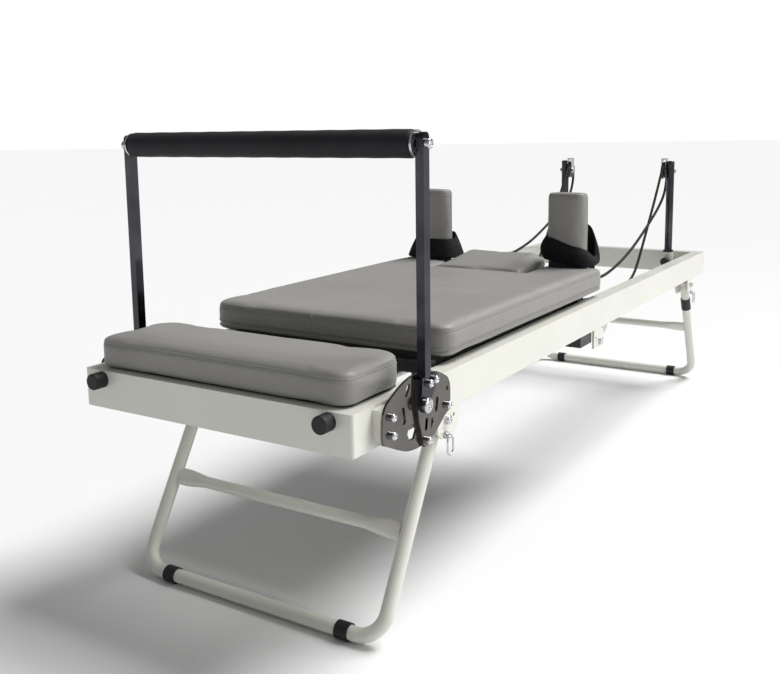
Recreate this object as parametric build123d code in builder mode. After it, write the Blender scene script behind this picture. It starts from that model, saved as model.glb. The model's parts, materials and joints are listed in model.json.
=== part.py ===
from build123d import *
import math
import os

# Pilates reformer, folding. Millimetres, +Z up, floor at Z = 0.
# +X runs from the foot end to the head end, and the two long sides mirror each other about Y = 0.
# In this file x is read from the foot-end face and z from the tops of the rails.

FOOT_FACE = -1136.5
RAIL_TOP = 472.0

FRAME_LENGTH = 2300.0
HALF_WIDTH = 320.0
RAIL_WIDTH = 40.0
RAIL_HEIGHT = 75.0
RAIL_WALL = 3.0
RAIL_CORNER = 6.0
FOLD_SEAM = 1180.0
SEAM_GAP = 0.4
INNER_FACE = HALF_WIDTH - RAIL_WIDTH

FOLD_PIVOT_Z = -111.0
LEAF_RADIUS = 35.0
LEAF_BOTTOM = -126.0
HINGE_PIN_RADIUS = 6.0
RUNNING_CLEARANCE = 0.05

TRACK_TOP = -30.0
TRACK_BOTTOM = -33.0
TRACK_INNER = 255.0

BUMPER_LENGTH = 27.0
BUMPER_RADIUS = 16.0
BUMPER_Y = 271.5
BUMPER_Z = -17.6

PLATFORM_X = (13.0, 208.0)
PLATFORM_HALF_WIDTH = 305.0
PLATFORM_Z = (3.0, 60.0)
PLATFORM_FRONT_CORNER = 32.0
PLATFORM_REAR_CORNER = 52.0
PLATFORM_BOARD_INSET = 14.0
BOARD_INSET = 6.0

CARRIAGE_X = (349.0, 1247.0)
CARRIAGE_HALF_WIDTH = 308.0
CARRIAGE_Z = (25.0, 77.0)
CARRIAGE_FRONT_CORNER = 36.0
CARRIAGE_REAR_CORNER = 26.0
CUSHION_EDGE = 11.0
BASE_BOARD_BOTTOM = 9.0
BASE_BOARD_HALF_WIDTH = 256.0
BEAM_BOTTOM = -22.0
BEAM_WIDTH = 16.0

NOTCH_X = 1070.0
NOTCH_HALF_WIDTH = 144.0
HEADREST_PIVOT = (1088.0, 57.0)
HEADREST_ANGLE = 10.0
HEADREST_FRONT = -8.0
HEADREST_REAR = 174.0
HEADREST_HALF_WIDTH = 134.0
HEADREST_HALF_THICKNESS = 20.0
HEADREST_BOARD_THICKNESS = 12.0
HEADREST_PIN_RADIUS = 4.0

REST_X = (1190.0, 1245.0)
REST_Y = (155.0, 264.0)
REST_Z = (92.0, 282.0)
REST_BASE_BOTTOM = 77.3
REST_CORNER = 22.0
RIM_INSET = 3.0
PEG_RADIUS = 8.0
PEG_BOTTOM = 12.0
PEG_PLAY = 0.5
STRAP_THICKNESS = 3.4
STRAP_PLAY = 0.6
STRAP_Z = (99.0, 150.0)
STRAP_REAR = 1288.0
STRAP_TAIL_Y = (228.0, 268.0)

WHEEL_RADIUS = 22.0
WHEEL_Z = -8.0
WHEEL_Y = (262.0, 276.0)
FRONT_WHEEL_X = 342.0
REAR_WHEEL_X = 1150.0
WHEEL_AXLE_RADIUS = 4.0

SPRING_Z = -40.0
SPRING_RADIUS = 10.0
SPRING_Y = (-160.0, -80.0, 0.0, 80.0, 160.0)
SPRING_BAR_X = (205.0, 235.0)
HOOK_BAR_X = (640.0, 660.0)

BAR_X = 177.0
BAR_Z = 434.0
FOAM_RADIUS = 25.3
FOAM_HALF_LENGTH = 340.0
BAR_RADIUS = 16.0
UPRIGHT_Y = (344.4, 360.8)
UPRIGHT_WIDTH = 20.0
UPRIGHT_FOOT = 28.0
HUB_Z = -23.0
HUB_RADIUS = 8.0
LATCH_Y = (344.4, 350.4)
LATCH_OUTLINE = [
    (162, 26), (220, 26), (216, -2), (206, -46), (204, -92),
    (198, -103), (182, -103), (176, -92), (164, -52), (156, -18),
]
TONGUE_Y = (350.4, 355.6)

PLATE_Y = (339.5, 344.1)
PLATE_OUTLINE = [
    (56, -2), (97, 19), (124, 29), (152, 35), (184, 34), (213, 30), (248, 20), (290, -2),
    (289, -61), (272, -65), (231, -92), (204, -100), (164, -102), (125, -96), (69, -70), (52, -63),
]
PLATE_CORNER_CUT = 0.22
PLATE_BOLTS = [(80, -21), (81, -53), (276, -50)]
PLATE_BOLT_RADIUS = 7.0
PLATE_SPACERS = [(59.0, 92.0), (264.0, 287.0)]

LEG_Y = 297.0
LEG_RADIUS = 14.0
LEG_WALL = 2.0
LEG_BEND = 52.0
LEG_END = 10.0
LEG_PIVOT_Z = -94.0
LEG_PIVOT_RADIUS = 5.0
LEG_FOOT_Z = -456.0
FRONT_PIVOT_X = 319.0
FRONT_FOOT_X = 108.0
REAR_PIVOT_X = 2115.0
REAR_FOOT_X = 2275.0
FRONT_CROSSBAR_SHARE = 0.53
REAR_CROSSBAR_SHARE = 0.475
CROSSBAR_RADIUS = 12.0
CROSSBAR_FLAT = (18.0, 8.0)
CROSSBAR_FLARE_Y = (205.0, 255.0)
SLEEVE_Y = 218.0
SLEEVE_HALF_LENGTH = 14.0
SLEEVE_RADIUS = 17.0
COLLAR_RADIUS = 16.4
COLLAR_REACH = (62.0, 106.0)

BRACKET_BOTTOM = -128.0
BRACKET_PLATE = 4.0
LOCK_PIN_Z = -123.0
LOCK_PIN_RADIUS = 4.0
LOCK_PIN_Y = (314.0, 334.0)
LOCK_PIN_COLLAR_Y = (320.4, 325.0)
PULL_RING_Y = 331.0
PULL_RING_RADIUS = 11.0
PULL_RING_STRAIGHT = 8.0
PULL_RING_REACH = 19.0
PULL_RING_WIRE = 2.0
FRONT_BRACKET_X = (284.0, 365.0)
REAR_BRACKET_X = (2078.0, 2150.0)
FRONT_LOCK_PIN_X = 313.0
REAR_LOCK_PIN_X = 2121.0
SPARE_HOLE_Z = -91.0

POST_X = 2241.0
POST_Y = 203.0
POST_RADIUS = 13.5
POST_WALL = 2.0
POST_TOP = 322.0
SOCKET_RADIUS = 19.0
SOCKET_BOTTOM = -45.0
KNOB_Z = -33.0
KNOB_RADIUS = 16.0
PULLEY_Y = 181.0
PULLEY_Z = 296.0
PULLEY_RADIUS = 29.0
PULLEY_HALF_WIDTH = 6.0
GROOVE_RADIUS = 24.0
PULLEY_BOLT_RADIUS = 4.0

ROPE_RADIUS = 4.5
ROPE_PLAY = 0.4

SIDES = {"left": 1, "right": -1}

os.makedirs("parts", exist_ok=True)


# ---- helpers -------------------------------------------------------------------------------

def spot(x, y, z):
    """A point from its distance along the frame, across it, and above the rails."""
    return Vector(x + FOOT_FACE, y, z + RAIL_TOP)


def side_plane(y):
    """An upright plane along the frame, drawn in x and z, whose extrusions run toward -Y."""
    return Plane(origin=spot(0, y, 0), x_dir=(1, 0, 0), z_dir=(0, -1, 0))


def across(side, near, far):
    """The two Y limits of something on one side of the frame, low one first."""
    return (near, far) if side > 0 else (-far, -near)


def save(built, name):
    built.part.label = name
    export_step(built.part, f"parts/{name}.step")


def slab(x, y, z, corner=0.0, mode=Mode.ADD):
    """Adds a flat block, its upright edges rounded where a corner radius is given."""
    with BuildSketch(Plane.XY.offset(z[0] + RAIL_TOP)) as outline:
        with Locations(((x[0] + x[1]) / 2 + FOOT_FACE, (y[0] + y[1]) / 2)):
            if corner:
                RectangleRounded(x[1] - x[0], y[1] - y[0], corner)
            else:
                Rectangle(x[1] - x[0], y[1] - y[0])
    extrude(outline.sketch, amount=z[1] - z[0], mode=mode)


def pad_block(x, half_width, z, front_corner, rear_corner):
    """A flat cushion with one corner radius at its foot end and another at its head end."""
    with BuildPart() as block:
        slab(x, (-half_width, half_width), z)
        ends = block.edges().filter_by(Axis.Z).group_by(Axis.X)
        fillet(ends[0], front_corner)
        ends = block.edges().filter_by(Axis.Z).group_by(Axis.X)
        fillet(ends[-1], rear_corner)
    return block.part


def rod(start, end, radius, mode=Mode.ADD):
    """Adds a round bar between two points."""
    run = end - start
    with BuildSketch(Plane(origin=start, z_dir=run)) as section:
        Circle(radius)
    extrude(section.sketch, amount=run.length, mode=mode)


def cross_rod(x, z, y, radius, mode=Mode.ADD):
    """Adds a round bar that runs across the frame."""
    rod(spot(x, y[0], z), spot(x, y[1], z), radius, mode)


def swept_tube(points, bend, outer, inner):
    """Adds a bent tube along a line of points."""
    with BuildLine() as route:
        FilletPolyline(*points, radius=bend)
    with BuildSketch(Plane(origin=route.line @ 0, z_dir=route.line % 0)) as section:
        Circle(outer)
        Circle(inner, mode=Mode.SUBTRACT)
    sweep(section.sketch, path=route.line)


# ---- main frame ----------------------------------------------------------------------------

def side_rails(x, name):
    with BuildPart() as rails:
        for side in SIDES.values():
            slab(x, across(side, INNER_FACE, HALF_WIDTH), (-RAIL_HEIGHT, 0))
            hollow = across(side, INNER_FACE + RAIL_WALL, HALF_WIDTH - RAIL_WALL)
            slab(x, hollow, (RAIL_WALL - RAIL_HEIGHT, -RAIL_WALL), mode=Mode.SUBTRACT)
    save(rails, name)


def end_rail(x, outer_edges_x, name):
    with BuildPart() as rail:
        slab(x, (-HALF_WIDTH, HALF_WIDTH), (-RAIL_HEIGHT, 0))
        corners = rail.edges().filter_by(Axis.Z).filter_by_position(
            Axis.X, outer_edges_x + FOOT_FACE - 1, outer_edges_x + FOOT_FACE + 1
        )
        fillet(corners, RAIL_CORNER)
    save(rail, name)


def tracks(x, name):
    with BuildPart() as ledges:
        for side in SIDES.values():
            slab(x, across(side, TRACK_INNER, INNER_FACE), (TRACK_BOTTOM, TRACK_TOP))
            slab(x, across(side, TRACK_INNER, TRACK_INNER + 2), (TRACK_BOTTOM - 8, TRACK_BOTTOM))
            slab(x, across(side, INNER_FACE - 3, INNER_FACE), (TRACK_BOTTOM - 14, TRACK_BOTTOM))
    save(ledges, name)


side_rails((RAIL_WIDTH, FOLD_SEAM - SEAM_GAP / 2), "foot_rails")
side_rails((FOLD_SEAM + SEAM_GAP / 2, FRAME_LENGTH - RAIL_WIDTH), "head_rails")
end_rail((0, RAIL_WIDTH), 0, "foot_end_rail")
end_rail((FRAME_LENGTH - RAIL_WIDTH, FRAME_LENGTH), FRAME_LENGTH, "head_end_rail")
tracks((60.0, FOLD_SEAM - SEAM_GAP / 2), "foot_tracks")
tracks((FOLD_SEAM + SEAM_GAP / 2, 2220.0), "head_tracks")

with BuildPart() as centre_cross_member:
    slab((1040, 1120), (-318, 318), (-104, -RAIL_HEIGHT))
    for rib in range(-280, 281, 28):
        slab((1036, 1040), (rib - 5, rib + 5), (-102, -RAIL_HEIGHT))
save(centre_cross_member, "centre_cross_member")

with BuildPart() as bumpers:
    for side in SIDES.values():
        rod(
            spot(-BUMPER_LENGTH, side * BUMPER_Y, BUMPER_Z),
            spot(0, side * BUMPER_Y, BUMPER_Z),
            BUMPER_RADIUS,
        )
    fillet(bumpers.edges().sort_by(Axis.X)[0:2], 2.5)
save(bumpers, "bumpers")


# ---- fold hinge ----------------------------------------------------------------------------

with BuildPart() as foot_hinge_leaves:
    for side in SIDES.values():
        y = across(side, 314.0, 319.5)
        with BuildSketch(side_plane(y[1])) as leaf:
            with Locations((FOLD_SEAM, FOLD_PIVOT_Z)):
                Circle(LEAF_RADIUS)
            with Locations((FOLD_SEAM - 22, -100.5)):
                Rectangle(44, 51)
            with Locations((FOLD_SEAM, LEAF_BOTTOM - 25)):
                Rectangle(120, 50, mode=Mode.SUBTRACT)
            with Locations((FOLD_SEAM, 25 - RAIL_HEIGHT)):
                Rectangle(120, 50, mode=Mode.SUBTRACT)
            with Locations((FOLD_SEAM, FOLD_PIVOT_Z)):
                Circle(HINGE_PIN_RADIUS, mode=Mode.SUBTRACT)
            with Locations((1152, -98.5)):
                Circle(4, mode=Mode.SUBTRACT)
        extrude(leaf.sketch, amount=y[1] - y[0])
save(foot_hinge_leaves, "foot_hinge_leaves")

with BuildPart() as head_hinge_leaves:
    for side in SIDES.values():
        y = across(side, 306.0, 311.0)
        with BuildSketch(side_plane(y[1])) as leaf:
            Polygon(
                (1186, -RAIL_HEIGHT), (1268, -RAIL_HEIGHT), (1262, -92), (1188, -125),
                (1172, -124), (1167, FOLD_PIVOT_Z), (1171, -102), align=None,
            )
            with Locations((FOLD_SEAM, FOLD_PIVOT_Z)):
                Circle(HINGE_PIN_RADIUS + RUNNING_CLEARANCE, mode=Mode.SUBTRACT)
        extrude(leaf.sketch, amount=y[1] - y[0])
        slab((1186, 1268), across(side, 286.0, 306.0), (-79, -RAIL_HEIGHT))
save(head_hinge_leaves, "head_hinge_leaves")


# ---- foot platform -------------------------------------------------------------------------

with BuildPart() as platform_board:
    slab(
        (PLATFORM_X[0] + PLATFORM_BOARD_INSET, PLATFORM_X[1] - PLATFORM_BOARD_INSET),
        (-PLATFORM_HALF_WIDTH + PLATFORM_BOARD_INSET, PLATFORM_HALF_WIDTH - PLATFORM_BOARD_INSET),
        (0, PLATFORM_Z[0]),
        corner=PLATFORM_FRONT_CORNER - PLATFORM_BOARD_INSET,
    )
save(platform_board, "platform_board")

with BuildPart() as platform_pad:
    add(pad_block(PLATFORM_X, PLATFORM_HALF_WIDTH, PLATFORM_Z, PLATFORM_FRONT_CORNER, PLATFORM_REAR_CORNER))
    fillet(platform_pad.faces().sort_by(Axis.Z)[-1].edges(), CUSHION_EDGE)
    fillet(platform_pad.faces().sort_by(Axis.Z)[0].edges(), 4)
save(platform_pad, "platform_pad")

with BuildPart() as spring_bar:
    slab(SPRING_BAR_X, (-INNER_FACE, INNER_FACE), (-58, -47.5))
    slab((SPRING_BAR_X[0], SPRING_BAR_X[1] - 24), (-TRACK_INNER, TRACK_INNER), (-47.5, -18))
save(spring_bar, "spring_bar")

with BuildPart() as springs:
    for y in SPRING_Y:
        rod(spot(SPRING_BAR_X[0] + 6.2, y, SPRING_Z), spot(SPRING_BAR_X[0] + 32, y, SPRING_Z), 2.5)
        rod(spot(SPRING_BAR_X[0] + 32, y, SPRING_Z), spot(HOOK_BAR_X[0] - 16, y, SPRING_Z), SPRING_RADIUS)
        rod(spot(HOOK_BAR_X[0] - 16, y, SPRING_Z), spot(HOOK_BAR_X[0] - 0.4, y, SPRING_Z), 2.5)
save(springs, "springs")


# ---- footbar side plates -------------------------------------------------------------------

def softened(outline):
    """The outline with each corner cut off, twice as many corners and each half as sharp."""
    points = []
    for here, there in zip(outline, outline[1:] + outline[:1]):
        for share in (PLATE_CORNER_CUT, 1 - PLATE_CORNER_CUT):
            points.append(tuple(a + (b - a) * share for a, b in zip(here, there)))
    return points


with BuildPart() as footbar_side_plates:
    for side in SIDES.values():
        y = across(side, *PLATE_Y)
        with BuildSketch(side_plane(y[1])) as plate:
            Polygon(*softened(softened(PLATE_OUTLINE)), align=None)
            with Locations((BAR_X, HUB_Z)):
                Circle(HUB_RADIUS + RUNNING_CLEARANCE, mode=Mode.SUBTRACT)
            with Locations((277, -18)):
                Circle(4.5, mode=Mode.SUBTRACT)
            with Locations((148, -66)):
                RegularPolygon(16, 6, mode=Mode.SUBTRACT)
            with Locations((216, -70)):
                SlotOverall(24, 12, rotation=60, mode=Mode.SUBTRACT)
            with Locations((236, -39)):
                SlotOverall(30, 12, rotation=75, mode=Mode.SUBTRACT)
            with Locations((120, -30)):
                SlotOverall(32, 12, rotation=100, mode=Mode.SUBTRACT)
            with Locations((134, 12)):
                SlotOverall(24, 11, rotation=55, mode=Mode.SUBTRACT)
        extrude(plate.sketch, amount=y[1] - y[0])
save(footbar_side_plates, "footbar_side_plates")

with BuildPart() as plate_spacers:
    for side in SIDES.values():
        for x in PLATE_SPACERS:
            slab(x, across(side, HALF_WIDTH, PLATE_Y[0]), (-60, -6))
save(plate_spacers, "plate_spacers")


# ---- folding legs --------------------------------------------------------------------------

def leg_frame(pivot_x, foot_x, share, name):
    """A bent tube with a crossbar flattened at its ends, drilled for the pivot bolts."""
    lean = spot(foot_x, 0, LEG_FOOT_Z) - spot(pivot_x, 0, LEG_PIVOT_Z)
    stub = lean.normalized() * LEG_END
    bar_x = pivot_x + lean.X * share
    bar_z = LEG_PIVOT_Z + lean.Z * share
    with BuildPart() as frame:
        swept_tube(
            [
                spot(pivot_x, LEG_Y, LEG_PIVOT_Z) - stub,
                spot(foot_x, LEG_Y, LEG_FOOT_Z),
                spot(foot_x, -LEG_Y, LEG_FOOT_Z),
                spot(pivot_x, -LEG_Y, LEG_PIVOT_Z) - stub,
            ],
            LEG_BEND,
            LEG_RADIUS,
            LEG_RADIUS - LEG_WALL,
        )
        cross_rod(bar_x, bar_z, (-CROSSBAR_FLARE_Y[0], CROSSBAR_FLARE_Y[0]), CROSSBAR_RADIUS)
        for side in SIDES.values():
            stations = (*CROSSBAR_FLARE_Y, LEG_Y - LEG_RADIUS + 1)
            planes = [
                Plane(origin=spot(bar_x, side * y, bar_z), x_dir=lean, z_dir=(0, side, 0)) for y in stations
            ]
            with BuildSketch(planes[0]) as round_end:
                Circle(CROSSBAR_RADIUS)
            with BuildSketch(planes[1]) as flat_start:
                Ellipse(*CROSSBAR_FLAT)
            with BuildSketch(planes[2]) as flat_end:
                Ellipse(*CROSSBAR_FLAT)
            loft([round_end.sketch, flat_start.sketch])
            loft([flat_start.sketch, flat_end.sketch])
        cross_rod(
            pivot_x,
            LEG_PIVOT_Z,
            (-HALF_WIDTH, HALF_WIDTH),
            LEG_PIVOT_RADIUS + RUNNING_CLEARANCE,
            Mode.SUBTRACT,
        )
    save(frame, name)


def foot_sleeves(foot_x, name):
    """Rubber sleeves on the floor bar, flattened where they stand."""
    with BuildPart() as sleeves:
        for side in SIDES.values():
            y = across(side, SLEEVE_Y - SLEEVE_HALF_LENGTH, SLEEVE_Y + SLEEVE_HALF_LENGTH)
            cross_rod(foot_x, LEG_FOOT_Z, y, SLEEVE_RADIUS)
            cross_rod(foot_x, LEG_FOOT_Z, y, LEG_RADIUS, Mode.SUBTRACT)
            slab((foot_x - 30, foot_x + 30), y, (-RAIL_TOP - 10, -RAIL_TOP), mode=Mode.SUBTRACT)
    save(sleeves, name)


def leg_brackets(x, top_x, pivot_x, spare_hole_x, pin_x, name):
    """A pair of bored plates on each side, joined under the rail, with the leg's end between them."""
    with BuildPart() as brackets:
        for side in SIDES.values():
            for near in (INNER_FACE - BRACKET_PLATE, HALF_WIDTH - BRACKET_PLATE):
                y = across(side, near, near + BRACKET_PLATE)
                with BuildSketch(side_plane(y[1])) as plate:
                    Polygon(
                        (x[0], -RAIL_HEIGHT), (x[1], -RAIL_HEIGHT), (x[1], BRACKET_BOTTOM + 14),
                        (x[1] - 14, BRACKET_BOTTOM), (x[0] + 14, BRACKET_BOTTOM),
                        (x[0], BRACKET_BOTTOM + 14), align=None,
                    )
                    with Locations((pivot_x, LEG_PIVOT_Z)):
                        Circle(LEG_PIVOT_RADIUS, mode=Mode.SUBTRACT)
                    with Locations((spare_hole_x, SPARE_HOLE_Z)):
                        Circle(4, mode=Mode.SUBTRACT)
                    with Locations((pin_x, LOCK_PIN_Z)):
                        Circle(LOCK_PIN_RADIUS + 0.1, mode=Mode.SUBTRACT)
                extrude(plate.sketch, amount=BRACKET_PLATE)
            inside = across(side, INNER_FACE, HALF_WIDTH - BRACKET_PLATE)
            slab(top_x, inside, (-RAIL_HEIGHT - 3, -RAIL_HEIGHT))
    save(brackets, name)


def lock_pin(x, side, name):
    """A pull pin through the outer bracket plate, with its ring hanging from the end."""
    with BuildPart() as pin:
        cross_rod(x, LOCK_PIN_Z, across(side, *LOCK_PIN_Y), LOCK_PIN_RADIUS)
        cross_rod(x, LOCK_PIN_Z, across(side, *LOCK_PIN_COLLAR_Y), 7.5)
        ring_centre = spot(x, side * PULL_RING_Y, LOCK_PIN_Z - PULL_RING_REACH)
        with BuildLine(Plane(origin=ring_centre, x_dir=(1, 0, 0), z_dir=(0, -1, 0))) as loop:
            CenterArc((0, PULL_RING_STRAIGHT), PULL_RING_RADIUS, 0, 180)
            Line((-PULL_RING_RADIUS, PULL_RING_STRAIGHT), (-PULL_RING_RADIUS, -PULL_RING_STRAIGHT))
            CenterArc((0, -PULL_RING_STRAIGHT), PULL_RING_RADIUS, 180, 180)
            Line((PULL_RING_RADIUS, -PULL_RING_STRAIGHT), (PULL_RING_RADIUS, PULL_RING_STRAIGHT))
        with BuildSketch(Plane(origin=loop.line @ 0, z_dir=loop.line % 0)) as wire:
            Circle(PULL_RING_WIRE)
        sweep(wire.sketch, path=loop.line)
    save(pin, name)


leg_frame(FRONT_PIVOT_X, FRONT_FOOT_X, FRONT_CROSSBAR_SHARE, "front_leg_frame")
leg_frame(REAR_PIVOT_X, REAR_FOOT_X, REAR_CROSSBAR_SHARE, "rear_leg_frame")
foot_sleeves(FRONT_FOOT_X, "front_foot_sleeves")
foot_sleeves(REAR_FOOT_X, "rear_foot_sleeves")
leg_brackets(FRONT_BRACKET_X, (339, 365), FRONT_PIVOT_X, 347, FRONT_LOCK_PIN_X, "front_leg_brackets")
leg_brackets(REAR_BRACKET_X, (2078, 2095), REAR_PIVOT_X, 2087, REAR_LOCK_PIN_X, "rear_leg_brackets")
for label, side in SIDES.items():
    lock_pin(FRONT_LOCK_PIN_X, side, f"front_{label}_lock_pin")
    lock_pin(REAR_LOCK_PIN_X, side, f"rear_{label}_lock_pin")

with BuildPart() as rear_leg_collars:
    lean = (spot(REAR_FOOT_X, 0, LEG_FOOT_Z) - spot(REAR_PIVOT_X, 0, LEG_PIVOT_Z)).normalized()
    for side in SIDES.values():
        pivot = spot(REAR_PIVOT_X, side * LEG_Y, LEG_PIVOT_Z)
        upper, lower = (pivot + lean * reach for reach in COLLAR_REACH)
        rod(upper, lower, COLLAR_RADIUS)
        rod(upper, lower, LEG_RADIUS, Mode.SUBTRACT)
save(rear_leg_collars, "rear_leg_collars")


# ---- fasteners -----------------------------------------------------------------------------

def leg_pivot_bolts(x):
    for side in SIDES.values():
        cross_rod(x, LEG_PIVOT_Z, across(side, 272.0, 324.0), LEG_PIVOT_RADIUS)
        cross_rod(x, LEG_PIVOT_Z, across(side, HALF_WIDTH, 326.0), 9)


with BuildPart() as foot_fasteners:
    leg_pivot_bolts(FRONT_PIVOT_X)
    for side in SIDES.values():
        cross_rod(FOLD_SEAM, FOLD_PIVOT_Z, across(side, 304.0, 319.5), HINGE_PIN_RADIUS)
        cross_rod(FOLD_SEAM, FOLD_PIVOT_Z, across(side, 319.5, 324.0), 10)
        for x, z in PLATE_BOLTS:
            cross_rod(x, z, across(side, PLATE_Y[1], 350.0), PLATE_BOLT_RADIUS)
save(foot_fasteners, "foot_fasteners")

with BuildPart() as head_fasteners:
    leg_pivot_bolts(REAR_PIVOT_X)
    for side in SIDES.values():
        cross_rod(POST_X, PULLEY_Z, across(side, 169.0, 222.0), PULLEY_BOLT_RADIUS)
        cross_rod(POST_X, PULLEY_Z, across(side, 168.0, 172.4), 8)
        cross_rod(POST_X, PULLEY_Z, across(side, POST_Y + POST_RADIUS, 222.0), 7)
save(head_fasteners, "head_fasteners")


# ---- posts and pulleys ---------------------------------------------------------------------

with BuildPart() as posts:
    for side in SIDES.values():
        y = side * POST_Y
        foot, top = spot(POST_X, y, SOCKET_BOTTOM), spot(POST_X, y, POST_TOP)
        rod(foot, top, POST_RADIUS)
        rod(foot, top, POST_RADIUS - POST_WALL, Mode.SUBTRACT)
    cross_rod(POST_X, PULLEY_Z, (-HALF_WIDTH, HALF_WIDTH), PULLEY_BOLT_RADIUS, Mode.SUBTRACT)
save(posts, "posts")

with BuildPart() as post_trim:
    for side in SIDES.values():
        y = side * POST_Y
        rod(spot(POST_X, y, POST_TOP), spot(POST_X, y, POST_TOP + 11), POST_RADIUS)
        rod(spot(POST_X, y, 0), spot(POST_X, y, 7), SOCKET_RADIUS - 1)
        rod(spot(POST_X, y, 0), spot(POST_X, y, 7), POST_RADIUS, Mode.SUBTRACT)
    fillet(post_trim.edges().filter_by(GeomType.CIRCLE).sort_by(Axis.Z)[-2:], 5)
save(post_trim, "post_trim")

with BuildPart() as post_sockets:
    for side in SIDES.values():
        y = side * POST_Y
        rod(spot(POST_X, y, SOCKET_BOTTOM - 4), spot(POST_X, y, 0), SOCKET_RADIUS)
        rod(spot(POST_X, y, SOCKET_BOTTOM), spot(POST_X, y, 0), POST_RADIUS, Mode.SUBTRACT)
        rod(spot(POST_X - 40, y, KNOB_Z), spot(POST_X, y, KNOB_Z), 4 + RUNNING_CLEARANCE, Mode.SUBTRACT)
save(post_sockets, "post_sockets")


def post_knob(side, name):
    y = side * POST_Y
    face = POST_X - SOCKET_RADIUS
    with BuildPart() as knob:
        rod(spot(face - 4, y, KNOB_Z), spot(POST_X - POST_RADIUS - 0.4, y, KNOB_Z), 4)
        rod(spot(face - 8, y, KNOB_Z), spot(face - 1, y, KNOB_Z), 9)
        rod(spot(face - 30, y, KNOB_Z), spot(face - 8, y, KNOB_Z), KNOB_RADIUS)
        fillet(knob.edges().filter_by(GeomType.CIRCLE).sort_by(Axis.X)[0], 4)
        for notch in range(8):
            turn = math.radians(notch * 45)
            at_y = y + (KNOB_RADIUS + 2) * math.cos(turn)
            at_z = KNOB_Z + (KNOB_RADIUS + 2) * math.sin(turn)
            rod(spot(face - 31, at_y, at_z), spot(face - 7, at_y, at_z), 4, Mode.SUBTRACT)
    save(knob, name)


with BuildPart() as pulley_brackets:
    for side in SIDES.values():
        for near in (172.4, 187.5):
            y = across(side, near, near + 2.0)
            with BuildSketch(side_plane(y[1])) as cheek:
                with Locations((POST_X, PULLEY_Z + 18)):
                    Rectangle(26, 36 + 20)
                with Locations((POST_X, PULLEY_Z)):
                    Circle(PULLEY_BOLT_RADIUS, mode=Mode.SUBTRACT)
            extrude(cheek.sketch, amount=2.0)
        slab((POST_X - 13, POST_X + 13), across(side, 174.4, 187.5), (PULLEY_Z + 42, PULLEY_Z + 46))
save(pulley_brackets, "pulley_brackets")

for label, side in SIDES.items():
    post_knob(side, f"{label}_post_knob")


def grooved_pulley(side, name):
    """A wheel turned from one section: rim, rope groove and hub bore."""
    profile = [
        (PULLEY_BOLT_RADIUS + RUNNING_CLEARANCE, -PULLEY_HALF_WIDTH),
        (PULLEY_RADIUS, -PULLEY_HALF_WIDTH),
        (GROOVE_RADIUS, -2.0),
        (GROOVE_RADIUS, 2.0),
        (PULLEY_RADIUS, PULLEY_HALF_WIDTH),
        (PULLEY_BOLT_RADIUS + RUNNING_CLEARANCE, PULLEY_HALF_WIDTH),
    ]
    centre = spot(POST_X, side * PULLEY_Y, PULLEY_Z)
    with BuildPart() as wheel:
        with BuildSketch(Plane(origin=centre, x_dir=(1, 0, 0), z_dir=(0, 0, 1))) as section:
            Polygon(*profile, align=None)
        revolve(section.sketch, axis=Axis(centre, (0, 1, 0)))
    save(wheel, name)


for label, side in SIDES.items():
    grooved_pulley(side, f"{label}_pulley")


# ---- carriage ------------------------------------------------------------------------------

with BuildPart() as carriage_board:
    slab(
        (CARRIAGE_X[0] + BOARD_INSET, CARRIAGE_X[1] - BOARD_INSET),
        (-BASE_BOARD_HALF_WIDTH, BASE_BOARD_HALF_WIDTH),
        (BASE_BOARD_BOTTOM, CARRIAGE_Z[0]),
        corner=30,
    )
    slab((NOTCH_X, 1260), (-NOTCH_HALF_WIDTH, NOTCH_HALF_WIDTH), (BASE_BOARD_BOTTOM, CARRIAGE_Z[0]),
         mode=Mode.SUBTRACT)
    for side in SIDES.values():
        peg = side * (REST_Y[0] + REST_Y[1]) / 2
        middle = (REST_X[0] + REST_X[1]) / 2
        rod(spot(middle, peg, 0), spot(middle, peg, 60), PEG_RADIUS + PEG_PLAY, Mode.SUBTRACT)
save(carriage_board, "carriage_board")

with BuildPart() as carriage_pad:
    add(pad_block(CARRIAGE_X, CARRIAGE_HALF_WIDTH, CARRIAGE_Z, CARRIAGE_FRONT_CORNER, CARRIAGE_REAR_CORNER))
    slab((NOTCH_X, 1260), (-NOTCH_HALF_WIDTH, NOTCH_HALF_WIDTH), CARRIAGE_Z, mode=Mode.SUBTRACT)
    fillet(carriage_pad.faces().sort_by(Axis.Z)[-1].edges(), CUSHION_EDGE)
    for side in SIDES.values():
        peg = side * (REST_Y[0] + REST_Y[1]) / 2
        middle = (REST_X[0] + REST_X[1]) / 2
        rod(spot(middle, peg, 0), spot(middle, peg, 90), PEG_RADIUS + PEG_PLAY, Mode.SUBTRACT)
save(carriage_pad, "carriage_pad")

with BuildPart() as carriage_beams:
    for side in SIDES.values():
        slab((322, 1172), across(side, 240.0, 240.0 + BEAM_WIDTH), (BEAM_BOTTOM, BASE_BOARD_BOTTOM))
save(carriage_beams, "carriage_beams")

with BuildPart() as carriage_crossbars:
    for x in ((326, 358), (1020, 1052), (1136, 1168)):
        slab(x, (-240, 240), (-14, BASE_BOARD_BOTTOM))
    slab(HOOK_BAR_X, (-252, 252), (-54, BEAM_BOTTOM))
save(carriage_crossbars, "carriage_crossbars")

with BuildPart() as wheel_axles:
    for side in SIDES.values():
        for x in (FRONT_WHEEL_X, REAR_WHEEL_X):
            cross_rod(x, WHEEL_Z, across(side, 256.0, 277.5), WHEEL_AXLE_RADIUS)
            cross_rod(x, WHEEL_Z, across(side, 256.0, 260.5), 8)
            cross_rod(x, WHEEL_Z, across(side, 276.6, 279.4), 7)
save(wheel_axles, "wheel_axles")


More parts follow.
